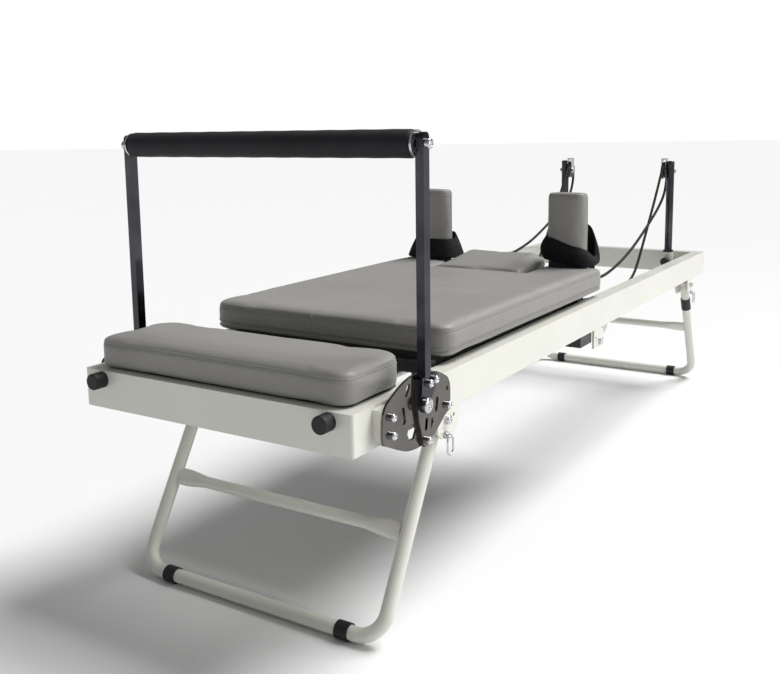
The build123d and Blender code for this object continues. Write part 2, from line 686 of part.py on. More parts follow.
def wheel_pair(x, name):
    with BuildPart() as wheels:
        for side in SIDES.values():
            cross_rod(x, WHEEL_Z, across(side, *WHEEL_Y), WHEEL_RADIUS)
        fillet(wheels.edges().filter_by(GeomType.CIRCLE), 3)
        bore = WHEEL_AXLE_RADIUS + RUNNING_CLEARANCE
        for side in SIDES.values():
            cross_rod(x, WHEEL_Z, across(side, *WHEEL_Y), bore, Mode.SUBTRACT)
    save(wheels, name)


wheel_pair(FRONT_WHEEL_X, "front_wheels")
wheel_pair(REAR_WHEEL_X, "rear_wheels")


# ---- headrest ------------------------------------------------------------------------------

def tilted_plane():
    """The headrest's own plane: origin on its pivot, x toward its free edge."""
    turn = math.radians(HEADREST_ANGLE)
    return Plane(
        origin=spot(HEADREST_PIVOT[0], 0, HEADREST_PIVOT[1]),
        x_dir=(math.cos(turn), 0, math.sin(turn)),
        z_dir=(-math.sin(turn), 0, math.cos(turn)),
    )


def tilted_slab(x, y, z, corner=0.0):
    with BuildSketch(tilted_plane().offset(z[0])) as outline:
        with Locations(((x[0] + x[1]) / 2, (y[0] + y[1]) / 2)):
            if corner:
                RectangleRounded(x[1] - x[0], y[1] - y[0], corner)
            else:
                Rectangle(x[1] - x[0], y[1] - y[0])
    extrude(outline.sketch, amount=z[1] - z[0])


with BuildPart() as headrest_pad:
    tilted_slab(
        (HEADREST_FRONT, HEADREST_REAR),
        (-HEADREST_HALF_WIDTH, HEADREST_HALF_WIDTH),
        (-HEADREST_HALF_THICKNESS, HEADREST_HALF_THICKNESS),
        corner=12,
    )
    fillet(headrest_pad.faces().sort_by(Axis.Z)[-1].edges(), 9)
save(headrest_pad, "headrest_pad")

with BuildPart() as headrest_board:
    under = -HEADREST_HALF_THICKNESS - HEADREST_BOARD_THICKNESS
    tilted_slab((8, HEADREST_REAR - 8), (-126, 126), (under, -HEADREST_HALF_THICKNESS))
    for side in SIDES.values():
        tilted_slab((8, 30), across(side, 126, 137), (under, under + 4))
        tilted_slab((-7, 30), across(side, HEADREST_HALF_WIDTH + 0.3, 137), (under + 4, 7))
        cross_rod(*HEADREST_PIVOT, across(side, 137.0, 141.6), HEADREST_PIN_RADIUS)
save(headrest_board, "headrest_board")

with BuildPart() as headrest_hinge_ears:
    for side in SIDES.values():
        y = across(side, 137.4, 141.2)
        slab((1060, 1098), across(side, 137.4, 150.0), (BASE_BOARD_BOTTOM - 4, BASE_BOARD_BOTTOM))
        with BuildSketch(side_plane(y[1])) as ear:
            with Locations((1086, 35)):
                Rectangle(24, 62)
            with Locations(HEADREST_PIVOT):
                Circle(HEADREST_PIN_RADIUS + RUNNING_CLEARANCE, mode=Mode.SUBTRACT)
        extrude(ear.sketch, amount=y[1] - y[0])
save(headrest_hinge_ears, "headrest_hinge_ears")


# ---- shoulder rests and straps -------------------------------------------------------------

def shoulder_rest(side, name):
    """A padded block on a rim and a peg that drops into the carriage."""
    peg_y = side * (REST_Y[0] + REST_Y[1]) / 2
    middle = (REST_X[0] + REST_X[1]) / 2
    with BuildPart() as rest:
        slab(REST_X, across(side, *REST_Y), REST_Z, corner=REST_CORNER)
        fillet(rest.faces().sort_by(Axis.Z)[-1].edges(), 7)
    save(rest, f"{name}_shoulder_rest")
    with BuildPart() as base:
        rim_x = (REST_X[0] + RIM_INSET, REST_X[1] - RIM_INSET)
        rim_y = across(side, REST_Y[0] + RIM_INSET, REST_Y[1] - RIM_INSET)
        slab(rim_x, rim_y, (REST_BASE_BOTTOM, REST_Z[0]), corner=REST_CORNER - RIM_INSET)
        rod(spot(middle, peg_y, PEG_BOTTOM), spot(middle, peg_y, REST_BASE_BOTTOM), PEG_RADIUS)
    save(base, f"{name}_rest_base")


for label, side in SIDES.items():
    shoulder_rest(side, label)

with BuildPart() as strap_loops:
    for side in SIDES.values():
        loop_x = (REST_X[0] - STRAP_PLAY, STRAP_REAR - STRAP_THICKNESS)
        loop_y = (REST_Y[0] - STRAP_PLAY, REST_Y[1] + STRAP_PLAY)
        outer_x = (loop_x[0] - STRAP_THICKNESS, loop_x[1] + STRAP_THICKNESS)
        outer_y = (loop_y[0] - STRAP_THICKNESS, loop_y[1] + STRAP_THICKNESS)
        slab(outer_x, across(side, *outer_y), STRAP_Z, corner=REST_CORNER + STRAP_THICKNESS)
        slab(loop_x, across(side, *loop_y), STRAP_Z, corner=REST_CORNER, mode=Mode.SUBTRACT)
        slab(
            (STRAP_REAR, STRAP_REAR + STRAP_THICKNESS),
            across(side, *STRAP_TAIL_Y),
            (48, STRAP_Z[1] - 6),
        )
save(strap_loops, "strap_loops")


# ---- footbar -------------------------------------------------------------------------------

with BuildPart() as footbar_foam:
    cross_rod(BAR_X, BAR_Z, (-FOAM_HALF_LENGTH, FOAM_HALF_LENGTH), FOAM_RADIUS)
    fillet(footbar_foam.edges().filter_by(GeomType.CIRCLE), 7)
    cross_rod(BAR_X, BAR_Z, (-FOAM_HALF_LENGTH, FOAM_HALF_LENGTH), BAR_RADIUS, Mode.SUBTRACT)
save(footbar_foam, "footbar_foam")

with BuildPart() as footbar_tube:
    cross_rod(BAR_X, BAR_Z, (-UPRIGHT_Y[0], UPRIGHT_Y[0]), BAR_RADIUS)
    cross_rod(BAR_X, BAR_Z, (-UPRIGHT_Y[0], UPRIGHT_Y[0]), BAR_RADIUS - 3, Mode.SUBTRACT)
save(footbar_tube, "footbar_tube")

with BuildPart() as footbar_uprights:
    for side in SIDES.values():
        y = across(side, *UPRIGHT_Y)
        with BuildSketch(side_plane(y[1])) as upright:
            with Locations((BAR_X, (UPRIGHT_FOOT + BAR_Z) / 2)):
                Rectangle(UPRIGHT_WIDTH, BAR_Z - UPRIGHT_FOOT)
            with Locations((BAR_X, BAR_Z + 10)):
                Circle(UPRIGHT_WIDTH / 2)
            with Locations((BAR_X, BAR_Z + 5)):
                Rectangle(UPRIGHT_WIDTH, 10)
        extrude(upright.sketch, amount=y[1] - y[0])
        y = across(side, *TONGUE_Y)
        with BuildSketch(side_plane(y[1])) as tongue:
            Polygon(
                (BAR_X - 10, UPRIGHT_FOOT), (BAR_X + 10, UPRIGHT_FOOT), (219, 27), (216, 8),
                (BAR_X + 15, HUB_Z), (BAR_X, HUB_Z - 15), (BAR_X - 15, HUB_Z), align=None,
            )
            with Locations((BAR_X, HUB_Z)):
                Circle(HUB_RADIUS, mode=Mode.SUBTRACT)
        extrude(tongue.sketch, amount=y[1] - y[0])
save(footbar_uprights, "footbar_uprights")

with BuildPart() as footbar_latch_plates:
    for side in SIDES.values():
        y = across(side, *LATCH_Y)
        with BuildSketch(side_plane(y[1])) as latch:
            Polygon(*LATCH_OUTLINE, align=None)
            with Locations((BAR_X, HUB_Z)):
                Circle(HUB_RADIUS, mode=Mode.SUBTRACT)
            with Locations((188, -62)):
                SlotOverall(24, 9, rotation=80, mode=Mode.SUBTRACT)
        extrude(latch.sketch, amount=y[1] - y[0])
save(footbar_latch_plates, "footbar_latch_plates")

with BuildPart() as footbar_fittings:
    for side in SIDES.values():
        cross_rod(BAR_X, HUB_Z, across(side, 332.0, TONGUE_Y[1]), HUB_RADIUS)
        cross_rod(BAR_X, HUB_Z, across(side, TONGUE_Y[1], 362.0), 11)
        cross_rod(190, -92, across(side, LATCH_Y[1], 356.5), 7)
        cross_rod(188, 14, across(side, TONGUE_Y[1], 361.0), 7)
        cross_rod(207, 17, across(side, TONGUE_Y[1], 361.0), 7)
        washer = across(side, FOAM_HALF_LENGTH + 0.3, UPRIGHT_Y[0])
        cross_rod(BAR_X, BAR_Z, washer, 24)
        cross_rod(BAR_X, BAR_Z, washer, BAR_RADIUS, Mode.SUBTRACT)
        cross_rod(BAR_X, BAR_Z, across(side, UPRIGHT_Y[1], 368.0), 9)
save(footbar_fittings, "footbar_fittings")


# ---- ropes ---------------------------------------------------------------------------------

ROPE_ON_PULLEY = GROOVE_RADIUS + ROPE_RADIUS + ROPE_PLAY

# Each rope rises from under the carriage, passes over its pulley and comes back to the strap tail.
ROPE_POINTS = [
    (1170.6, 181, -6),
    (1236, 181, -24),
    (1330, 181, -40),
    (1440, 181, -54),
    (1560, 181, -62),
    (1680, 181, -66),
    (1790, 181, -64),
    (1872, 181, -56),
    (1930, 181, -26),
    (1996, 181, 46),
    (2068, 181, 128),
    (2130, 181, 200),
    (2180, 181, 262.6),
    (POST_X - 14.5, 181, PULLEY_Z + ROPE_ON_PULLEY),
    (POST_X + 22, 181, PULLEY_Z + ROPE_ON_PULLEY),
    (POST_X + ROPE_ON_PULLEY + 1.6, 181, PULLEY_Z - 2),
    (POST_X + ROPE_ON_PULLEY - 2, 181, PULLEY_Z - 46),
    (2240, 181, 203),
    (2160, 181, 158),
    (2064, 182, 120),
    (1960, 184, 83),
    (1860, 187, 53),
    (1756, 193, 33),
    (1650, 201, 20),
    (1545, 211, 14),
    (1445, 226, 18),
    (1360, 243, 30),
    (STRAP_REAR + STRAP_THICKNESS + 3, 255, 56),
]


def rope_radii(points):
    """The bend at each inner point: 0.45 of its shorter run, or the pulley's own where it lies on it."""
    radii = []
    centre = spot(POST_X, points[0].Y, PULLEY_Z)
    for before, here, after in zip(points, points[1:], points[2:]):
        come, go = here - before, after - here
        turn = math.radians(come.get_angle(go))
        radius = 0.45 * min(come.length, go.length) / math.tan(turn / 2)
        if (here - centre).length < 1.4 * ROPE_ON_PULLEY:
            radius = min(radius, ROPE_ON_PULLEY)
        radii.append(radius)
    return radii


def rope(side, name):
    points = [spot(x, side * y, z) for x, y, z in ROPE_POINTS]
    with BuildPart() as cord:
        with BuildLine() as route:
            FilletPolyline(*points, radius=rope_radii(points))
        with BuildSketch(Plane(origin=route.line @ 0, z_dir=route.line % 0)):
            Circle(ROPE_RADIUS)
        sweep(path=route.line)
    save(cord, name)


for label, side in SIDES.items():
    rope(side, f"{label}_rope")
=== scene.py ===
import json
import math

import bmesh
import bpy
from mathutils import Matrix, Vector
from mathutils.bvhtree import BVHTree


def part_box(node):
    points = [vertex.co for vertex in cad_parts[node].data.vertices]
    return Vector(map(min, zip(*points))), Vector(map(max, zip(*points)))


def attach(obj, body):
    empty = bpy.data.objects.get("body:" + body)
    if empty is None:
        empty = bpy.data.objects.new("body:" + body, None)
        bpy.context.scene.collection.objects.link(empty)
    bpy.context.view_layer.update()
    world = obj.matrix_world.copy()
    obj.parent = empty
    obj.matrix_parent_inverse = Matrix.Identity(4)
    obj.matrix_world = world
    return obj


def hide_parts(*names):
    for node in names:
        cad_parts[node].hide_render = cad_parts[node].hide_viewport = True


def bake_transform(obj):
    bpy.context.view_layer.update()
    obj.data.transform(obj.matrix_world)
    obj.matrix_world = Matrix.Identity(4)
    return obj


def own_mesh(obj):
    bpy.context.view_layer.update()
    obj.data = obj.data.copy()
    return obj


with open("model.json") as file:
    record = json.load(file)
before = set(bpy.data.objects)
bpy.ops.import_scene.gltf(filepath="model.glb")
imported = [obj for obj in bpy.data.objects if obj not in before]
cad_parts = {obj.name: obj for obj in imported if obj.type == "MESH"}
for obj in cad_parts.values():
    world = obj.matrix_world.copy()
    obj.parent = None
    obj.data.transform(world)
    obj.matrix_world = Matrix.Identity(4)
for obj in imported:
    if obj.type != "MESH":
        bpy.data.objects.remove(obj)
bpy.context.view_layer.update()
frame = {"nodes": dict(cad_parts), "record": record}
NODES = frame["nodes"]

# Places are in millimetres from the foot-end face and from the tops of the rails, and so are the
# sizes that are added to them. Every other size is in metres.
FOOT_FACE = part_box("foot_end_rail")[0].x
RAIL_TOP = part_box("foot_rails")[1].z
SIDES = {"left": 1, "right": -1}


def spot(x, y, z):
    return Vector((FOOT_FACE + x / 1000, y / 1000, RAIL_TOP + z / 1000))


# ---- camera --------------------------------------------------------------------------------

CAMERA_SPOT = spot(-1204.0, -1152.8, 456.7)
CAMERA_HEADING = math.radians(32.147)
CAMERA_PITCH = math.radians(-8.501)
CAMERA_ROLL = math.radians(-0.774)
LENS = 43.09
SENSOR_WIDTH = 36.0
VIEW_SHIFT = -0.0859


def add_camera():
    data = bpy.data.cameras.new("camera")
    data.lens = LENS
    data.sensor_width = SENSOR_WIDTH
    data.shift_y = VIEW_SHIFT
    data.clip_end = 60
    camera = bpy.data.objects.new("camera", data)
    turn = (
        Matrix.Rotation(CAMERA_HEADING - math.pi / 2, 4, "Z")
        @ Matrix.Rotation(math.pi / 2 + CAMERA_PITCH, 4, "X")
        @ Matrix.Rotation(CAMERA_ROLL, 4, "Z")
    )
    camera.matrix_world = Matrix.Translation(CAMERA_SPOT) @ turn
    bpy.context.scene.collection.objects.link(camera)
    bpy.context.scene.camera = camera


# ---- materials -----------------------------------------------------------------------------

def new_material(
    name, colour, roughness, metallic=0.0, specular=0.5, coat=0.0, coat_roughness=0.1, sheen=0.0
):
    """A material whose plain values sit on the shader itself."""
    material = bpy.data.materials.new(name)
    material.use_nodes = True
    shader = material.node_tree.nodes["Principled BSDF"]
    shader.inputs["Base Color"].default_value = (*colour, 1)
    shader.inputs["Roughness"].default_value = roughness
    shader.inputs["Metallic"].default_value = metallic
    shader.inputs["Specular IOR Level"].default_value = specular
    shader.inputs["Coat Weight"].default_value = coat
    shader.inputs["Coat Roughness"].default_value = coat_roughness
    shader.inputs["Sheen Weight"].default_value = sheen
    return material


def node(material, kind, **values):
    """Adds a shader node. Its input values are given by name, with spaces as underscores."""
    made = material.node_tree.nodes.new(kind)
    for key, value in values.items():
        if hasattr(made, key):
            setattr(made, key, value)
        else:
            made.inputs[key.replace("_", " ")].default_value = value
    return made


def wire(material, source, output, target, socket):
    material.node_tree.links.new(source.outputs[output], target.inputs[socket])


def shader_of(material):
    return material.node_tree.nodes["Principled BSDF"]


# Where in the noise the patches of colour and of roughness start and end.
PATCH_LOW = 0.32
PATCH_HIGH = 0.68
SHINE_LOW = 0.3
SHINE_HIGH = 0.7


def object_space(material, stretch=(1, 1, 1)):
    place = node(material, "ShaderNodeTexCoord")
    scaled = node(material, "ShaderNodeMapping")
    scaled.inputs["Scale"].default_value = stretch
    wire(material, place, "Object", scaled, "Vector")
    return scaled


def vary_colour(material, low, high, scale, stretch=(1, 1, 1)):
    """Lets the base colour drift between two colours in soft patches."""
    space = object_space(material, stretch)
    noise = node(material, "ShaderNodeTexNoise", Scale=scale, Detail=4.0, Roughness=0.55)
    ramp = node(material, "ShaderNodeValToRGB")
    ends = ((PATCH_LOW, low), (PATCH_HIGH, high))
    for element, (position, colour) in zip(ramp.color_ramp.elements, ends):
        element.position = position
        element.color = (*colour, 1)
    wire(material, space, "Vector", noise, "Vector")
    wire(material, noise, "Fac", ramp, "Fac")
    wire(material, ramp, "Color", shader_of(material), "Base Color")


def vary_roughness(material, low, high, scale, stretch=(1, 1, 1)):
    space = object_space(material, stretch)
    noise = node(material, "ShaderNodeTexNoise", Scale=scale, Detail=5.0, Roughness=0.6)
    spread = node(material, "ShaderNodeMapRange", To_Min=low, To_Max=high)
    spread.inputs["From Min"].default_value = SHINE_LOW
    spread.inputs["From Max"].default_value = SHINE_HIGH
    wire(material, space, "Vector", noise, "Vector")
    wire(material, noise, "Fac", spread, "Value")
    wire(material, spread, "Result", shader_of(material), "Roughness")


def add_bump(material, height_node, output, strength, distance):
    bump = node(material, "ShaderNodeBump", Strength=strength, Distance=distance)
    wire(material, height_node, output, bump, "Height")
    normal = shader_of(material).inputs["Normal"]
    if normal.is_linked:
        material.node_tree.links.new(normal.links[0].from_socket, bump.inputs["Normal"])
    material.node_tree.links.new(bump.outputs["Normal"], normal)


def noise_bump(material, scale, strength, distance, stretch=(1, 1, 1)):
    space = object_space(material, stretch)
    noise = node(material, "ShaderNodeTexNoise", Scale=scale, Detail=3.0, Roughness=0.55)
    wire(material, space, "Vector", noise, "Vector")
    add_bump(material, noise, "Fac", strength, distance)


def grain_bump(material, scale, strength, distance):
    """Small rounded cells, as in leather or a moulded skin."""
    space = object_space(material)
    cells = node(material, "ShaderNodeTexVoronoi", Scale=scale, feature="SMOOTH_F1")
    wire(material, space, "Vector", cells, "Vector")
    add_bump(material, cells, "Distance", strength, distance)


def weave_bump(material, scale, strength, distance):
    """Crossed ribs, as in webbing."""
    space = object_space(material)
    for direction in ("X", "Z"):
        ribs = node(material, "ShaderNodeTexWave", Scale=scale, bands_direction=direction)
        wire(material, space, "Vector", ribs, "Vector")
        add_bump(material, ribs, "Fac", strength, distance)


def paint():
    made = new_material("frame_paint", (0.70, 0.70, 0.635), 0.34, coat=0.25, coat_roughness=0.12)
    vary_colour(made, (0.685, 0.685, 0.62), (0.725, 0.725, 0.66), 3.0)
    vary_roughness(made, 0.28, 0.42, 14.0)
    noise_bump(made, 420.0, 0.12, 0.0004)
    return made


def chrome():
    """Chromed tube. Its dark base colour and its broad lighter and darker patches are a painted
    reflection of a dark studio.
    """
    # Painted reflection: the dark base colour and its broad patches stand in for a dark studio
    # mirrored in the tube.
    made = new_material("chrome", (0.05, 0.051, 0.06), 0.07, metallic=1.0, specular=0.6)
    vary_colour(made, (0.026, 0.028, 0.036), (0.085, 0.085, 0.094), 6.0)
    vary_roughness(made, 0.05, 0.16, 30.0)
    noise_bump(made, 9.0, 0.05, 0.002)
    return made


def polished_plate():
    # Painted reflection: as for the chrome, the dark base colour and its patches stand in for a
    # dark studio mirrored in the plate.
    made = new_material("polished_plate", (0.125, 0.117, 0.110), 0.1, metallic=1.0, specular=0.6)
    vary_colour(made, (0.10, 0.094, 0.089), (0.155, 0.146, 0.137), 14.0)
    vary_roughness(made, 0.08, 0.2, 30.0)
    noise_bump(made, 9.0, 0.05, 0.002)
    return made


def bright_steel():
    made = new_material("bright_steel", (0.58, 0.58, 0.60), 0.2, metallic=1.0)
    vary_roughness(made, 0.14, 0.34, 160.0)
    noise_bump(made, 500.0, 0.08, 0.0003)
    return made


def aluminium():
    made = new_material("aluminium", (0.55, 0.56, 0.57), 0.35, metallic=1.0)
    vary_roughness(made, 0.3, 0.5, 60.0, stretch=(0.1, 4, 4))
    noise_bump(made, 90.0, 0.1, 0.0004, stretch=(0.05, 4, 4))
    return made


def leather():
    made = new_material("grey_leather", (0.262, 0.256, 0.244), 0.46, specular=0.4, sheen=0.05)
    vary_colour(made, (0.252, 0.246, 0.234), (0.274, 0.268, 0.255), 5.0)
    vary_roughness(made, 0.40, 0.54, 18.0)
    grain_bump(made, 520.0, 0.22, 0.0006)
    noise_bump(made, 36.0, 0.10, 0.003)
    return made


def thread():
    made = new_material("stitch_thread", (0.42, 0.41, 0.39), 0.7)
    vary_colour(made, (0.34, 0.33, 0.32), (0.5, 0.49, 0.47), 400.0)
    noise_bump(made, 2600.0, 0.3, 0.0003)
    return made


def moulded(name, colour, roughness, grain):
    made = new_material(name, colour, roughness)
    vary_colour(made, tuple(c * 0.75 for c in colour), tuple(c * 1.35 for c in colour), 12.0)
    vary_roughness(made, roughness - 0.06, roughness + 0.1, 40.0)
    grain_bump(made, grain, 0.18, 0.0004)
    return made


def foam():
    made = new_material("foam", (0.009, 0.0095, 0.012), 0.66, specular=0.3, sheen=0.03)
    vary_colour(made, (0.007, 0.0075, 0.0095), (0.013, 0.0135, 0.017), 9.0)
    grain_bump(made, 900.0, 0.3, 0.0005)
    noise_bump(made, 30.0, 0.1, 0.002)
    return made


def webbing():
    made = new_material("webbing", (0.005, 0.005, 0.007), 0.85, specular=0.2, sheen=0.03)
    vary_colour(made, (0.004, 0.004, 0.0055), (0.009, 0.009, 0.012), 60.0)
    weave_bump(made, 260.0, 0.35, 0.0007)
    return made


def rope_cover():
    made = new_material("rope", (0.009, 0.009, 0.010), 0.75, specular=0.3, sheen=0.05)
    vary_colour(made, (0.005, 0.005, 0.006), (0.02, 0.02, 0.021), 240.0)
    weave_bump(made, 190.0, 0.6, 0.0012)
    return made


def plywood():
    # The board is a real part, but its near-black colour is also painted shade for the dark gap
    # under the pads; its grain is its own.
    made = new_material("board", (0.016, 0.015, 0.014), 0.6)
    vary_colour(made, (0.012, 0.011, 0.010), (0.03, 0.027, 0.024), 12.0, stretch=(0.3, 6, 6))
    noise_bump(made, 60.0, 0.15, 0.0006, stretch=(0.2, 5, 5))
    return made


MATERIALS = {
    "frame_paint": paint(),
    "chrome": chrome(),
    "bright_steel": bright_steel(),
    "aluminium": aluminium(),
    "grey_leather": leather(),
    "black_plastic": moulded("black_plastic", (0.010, 0.010, 0.011), 0.38, 700.0),
    "black_steel": moulded("black_steel", (0.020, 0.020, 0.021), 0.42, 420.0),
    "black_rubber": moulded("black_rubber", (0.007, 0.007, 0.008), 0.6, 800.0),
    "wheel_plastic": moulded("wheel_plastic", (0.010, 0.010, 0.011), 0.3, 500.0),
    "foam": foam(),
    "webbing": webbing(),
    "rope": rope_cover(),
    "board": plywood(),
}
THREAD = thread()
PLATE = polished_plate()
PLATE_NODES = ("footbar_side_plates", "footbar_latch_plates")
# The width of the rounded edge by material slot, and how far a surface turns before it is an edge.
EDGE_WIDTHS = {"chrome": 0.0007, "frame_paint": 0.0012, "black_steel": 0.0008, "board": 0.0008}
EDGE_ANGLE = math.radians(50)


def dress_cad_nodes():
    """Gives each CAD node its material, and a fine rounded edge where its material slot has an edge
    width.
    """
    for entry in frame["record"]["subparts"]:
        part = NODES[entry["node"]]
        slot = entry["material_slot"]
        part.data.materials.clear()
        part.data.materials.append(PLATE if entry["node"] in PLATE_NODES else MATERIALS[slot])
        if slot in EDGE_WIDTHS:
            rounded = part.modifiers.new("edge", "BEVEL")
            rounded.width = EDGE_WIDTHS[slot]
            rounded.segments = 2
            rounded.limit_method = "ANGLE"
            rounded.angle_limit = EDGE_ANGLE
            rounded.harden_normals = True


# ---- making pieces -------------------------------------------------------------------------

def smooth_faces(mesh):
    for face in mesh.polygons:
        face.use_smooth = True


def add_object(name, mesh, material):
    mesh.materials.clear()
    mesh.materials.append(material)
    smooth_faces(mesh)
    made = bpy.data.objects.new(name, mesh)
    bpy.context.scene.collection.objects.link(made)
    return made


def from_bmesh(name, shape, material):
    mesh = bpy.data.meshes.new(name)
    bmesh.ops.recalc_face_normals(shape, faces=shape.faces)
    shape.to_mesh(mesh)
    shape.free()
    return add_object(name, mesh, material)


def apply_modifiers(made):
    """Replaces an object's mesh with what its modifiers make of it."""
    depsgraph = bpy.context.evaluated_depsgraph_get()
    mesh = bpy.data.meshes.new_from_object(made.evaluated_get(depsgraph), depsgraph=depsgraph)
    made.modifiers.clear()
    made.data = mesh


def join_rings(shape, one, two):
    """Fills the band between two rings of as many vertices."""
    for k in range(len(one)):
        after = (k + 1) % len(one)
        shape.faces.new((one[k], one[after], two[after], two[k]))


def tube_points(shape, points, radius, sides, closed=False):
    """Adds a round tube along points. Each ring is turned only as far as the line turns."""
    count = len(points)
    rings = []
    across = None
    for i, point in enumerate(points):
        before = points[i - 1] if (i or closed) else point
        after = points[(i + 1) % count] if (i < count - 1 or closed) else point
        along = (after - before).normalized()
        if across is None:
            across = along.orthogonal().normalized()
        across = (across - along * across.dot(along)).normalized()
        up = along.cross(across)
        ring = []
        for k in range(sides):
            turn = 2 * math.pi * k / sides
            out = math.cos(turn) * across + math.sin(turn) * up
            ring.append(shape.verts.new(point + radius * out))
        rings.append(ring)
    pairs = list(zip(rings, rings[1:]))
    if closed:
        pairs.append((rings[-1], rings[0]))
    for one, two in pairs:
        join_rings(shape, one, two)
    if not closed:
        shape.faces.new(rings[0][::-1])
        shape.faces.new(rings[-1])


# ---- cushions ------------------------------------------------------------------------------

VOXEL = 0.0055
SKIN_INSET = 0.0005
AIR_PRESSURE = 4.0
CLOTH_FRAMES = 20


def cushion(name, source, body, swell):
    """A padded form from a CAD solid: remeshed, blown up as cloth, held to a swell and smoothed."""
    mesh = NODES[source].data.copy()
    made = add_object(name, mesh, MATERIALS["grey_leather"])
    even = made.modifiers.new("even", "REMESH")
    even.mode = "VOXEL"
    even.voxel_size = VOXEL
    even.use_smooth_shade = True
    apply_modifiers(made)
    for vertex, normal in [(v, v.normal.copy()) for v in made.data.vertices]:
        vertex.co -= normal * SKIN_INSET
    rest = [v.co.copy() for v in made.data.vertices]
    cloth = made.modifiers.new("cloth", "CLOTH")
    cloth.settings.use_pressure = True
    cloth.settings.uniform_pressure_force = AIR_PRESSURE
    cloth.settings.effector_weights.gravity = 0.0
    cloth.settings.tension_stiffness = 25
    cloth.settings.compression_stiffness = 25
    cloth.settings.shear_stiffness = 15
    cloth.settings.bending_stiffness = 2.0
    cloth.settings.quality = 4
    for step in range(1, CLOTH_FRAMES + 1):
        bpy.context.scene.frame_set(step)
    apply_modifiers(made)
    bpy.context.scene.frame_set(1)
    for vertex, start in zip(made.data.vertices, rest):
        move = vertex.co - start
        if move.length > swell:
            vertex.co = start + move * (swell / move.length)
    soft = made.modifiers.new("soft", "SMOOTH")
    soft.factor = 0.5
    soft.iterations = 3
    finer = made.modifiers.new("finer", "SUBSURF")
    finer.levels = 1
    finer.render_levels = 1
    apply_modifiers(made)
    smooth_faces(made.data)
    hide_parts(source)
    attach(made, body)
    return made


# A face whose normal rises more steeply than this is a cushion's top or underside, not its side.
SIDE_SLOPE = 0.8


def press_seam(made, height, depth, width):
    """Draws a cushion's side in along a level line, as a sewn seam does."""
    for vertex, normal in [(v, v.normal.copy()) for v in made.data.vertices]:
        away = abs(vertex.co.z - height)
        if away < width and abs(normal.z) < SIDE_SLOPE:
            vertex.co -= normal * (depth * (1 - (away / width) ** 2))
    made.data.update()


def surface_of(made):
    depsgraph = bpy.context.evaluated_depsgraph_get()
    return BVHTree.FromObject(made, depsgraph)


def rounded_outline(low, high, corner, step):
    """Points and outward directions round a rounded rectangle, evenly spaced."""
    outline = []
    straight_x = high.x - low.x - 2 * corner
    straight_y = high.y - low.y - 2 * corner
    corners = [
        (Vector((high.x - corner, low.y + corner)), -90),
        (Vector((high.x - corner, high.y - corner)), 0),
        (Vector((low.x + corner, high.y - corner)), 90),
        (Vector((low.x + corner, low.y + corner)), 180),
    ]
    for centre, start in corners:
        turns = max(2, round(corner * math.pi / 2 / step))
        for k in range(turns):
            angle = math.radians(start + 90 * k / turns)
            out = Vector((math.cos(angle), math.sin(angle)))
            outline.append((centre + corner * out, out))
        angle = math.radians(start + 90)
        out = Vector((math.cos(angle), math.sin(angle)))
        along = Vector((-out.y, out.x))
        run = abs(straight_x * along.x + straight_y * along.y)
        steps = max(1, round(run / step))
        for k in range(steps):
            outline.append((centre + corner * out + along * (run * k / steps), out))
    return outline


# How far lines are cast onto a surface, and how proud of it a seam is laid.
CAST = 0.12
PROUD = 0.0002


def cast_outline(tree, outline, height, lift=0.0, place=Matrix.Identity(4)):
    """Where lines from outside the outline, coming in at this height and slope, meet a surface."""
    found = []
    for point, out in outline:
        out3 = Vector((out.x, out.y, 0))
        away = out3 * math.cos(lift) + Vector((0, 0, math.sin(lift)))
        start = place @ (Vector((point.x, point.y, height)) + away * (CAST / 2))
        hit, normal, _, _ = tree.ray_cast(start, -(place.to_3x3() @ away), CAST)
        if hit is not None:
            found.append(hit + normal * PROUD)
    return found


# Neighbouring points of a seam that are further apart than this lie on either side of an opening.
GAP = 0.02


def unbroken_runs(points, closed):
    """Splits a line where it jumps across an opening."""
    runs = [[points[0]]]
    for here, there in zip(points, points[1:]):
        if (there - here).length > GAP:
            runs.append([])
        runs[-1].append(there)
    if closed and (points[0] - points[-1]).length <= GAP:
        if len(runs) == 1:
            return [(runs[0], True)]
        runs[0] = runs.pop() + runs[0]
    return [(run, False) for run in runs if len(run) > 2]


def add_seam(name, points, radius, body, closed=True):
    shape = bmesh.new()
    for run, whole in unbroken_runs(points, closed):
        tube_points(shape, run, radius, sides=6, closed=whole)
    made = from_bmesh(name, shape, MATERIALS["grey_leather"])
    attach(made, body)


# The share of a step between two points of a seam where each dash of thread starts, lies and ends.
DASH = (0.14, 0.3, 0.7, 0.86)
THREAD_RADIUS = 0.0006


def add_stitches(name, points, body, closed=True):
    """Short raised dashes of thread between neighbouring points of a seam."""
    shape = bmesh.new()
    ends = points[1:] + (points[:1] if closed else [])
    for here, there in zip(points, ends):
        if (there - here).length > GAP:
            continue
        tube_points(shape, [here.lerp(there, share) for share in DASH], THREAD_RADIUS, sides=5)
    made = from_bmesh(name, shape, THREAD)
    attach(made, body)


def cast_column(tree, start, away, bottom, top, steps):
    """Where level lines meet a surface, one above the other."""
    found = []
    for step in range(steps):
        origin = Vector((start[0], start[1], bottom + (top - bottom) * step / (steps - 1)))
        hit, normal, _, _ = tree.ray_cast(origin, away, CAST)
        if hit is not None:
            found.append(hit + normal * PROUD)
    return found


def flat_corners(node_name):
    """A node's outline corners, its underside and its top."""
    low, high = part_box(node_name)
    return Vector((low.x, low.y)), Vector((high.x, high.y)), low.z, high.z


# ---- pads ----------------------------------------------------------------------------------

STITCH_STEP = 0.0062
SEAM_RADIUS = 0.0009
PRESS_WIDTH = 0.005
PAD_SEAM = 0.011
PAD_SWELL = 0.004
# How far above the underside an upright seam starts.
SEAM_FOOT = 0.004

PLATFORM_CORNER = 0.034
PLATFORM_PRESS = 0.0012
# Rows of stitches: how far below the top, and from how many degrees above level they are cast.
PLATFORM_STITCHES = ((0.0035, 50), (0.0145, 0))


